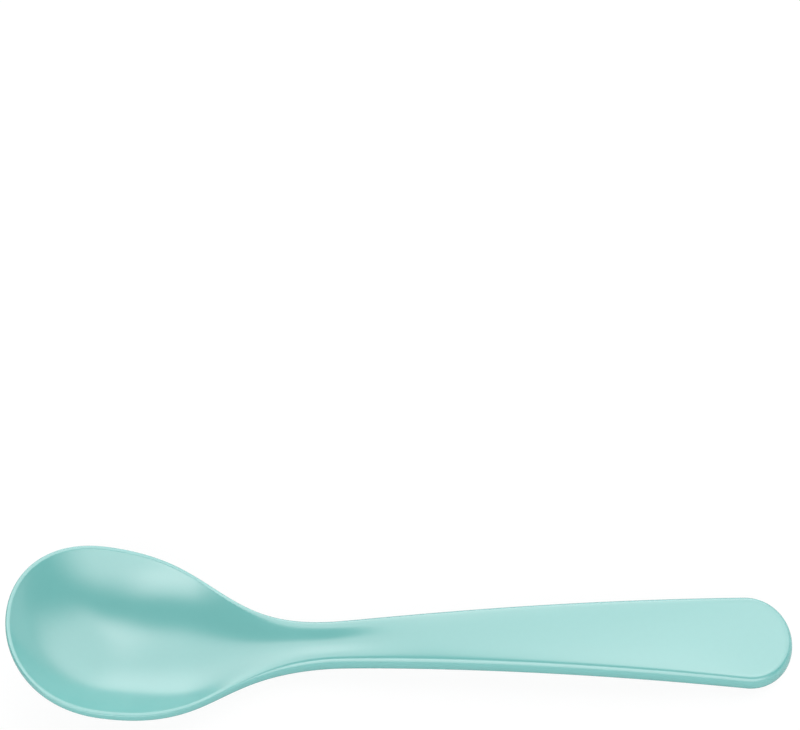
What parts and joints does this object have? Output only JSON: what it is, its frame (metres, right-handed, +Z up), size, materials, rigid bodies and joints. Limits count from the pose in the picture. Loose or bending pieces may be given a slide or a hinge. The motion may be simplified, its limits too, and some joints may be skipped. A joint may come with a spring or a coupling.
{
  "type": "egg spoon",
  "caption": "Small moulded spoon with an oval bowl, a narrow troughed neck and an arched handle that widens to a round end.",
  "frame": {"origin": "on the table under the middle of the spoon's length and width, as it lies at rest with its hollow up", "axes": "+X along the spoon from the bowl's tip to the handle's end, +Y across it, +Z up"},
  "size_m": [0.125, 0.0308, 0.0146],
  "materials": {
    "melamine": "satin moulded melamine, light turquoise, coloured all the way through"
  },
  "bodies": {
    "root": {"bowl": "melamine", "neck": "melamine", "handle": "melamine"}
  },
  "joints": []
}
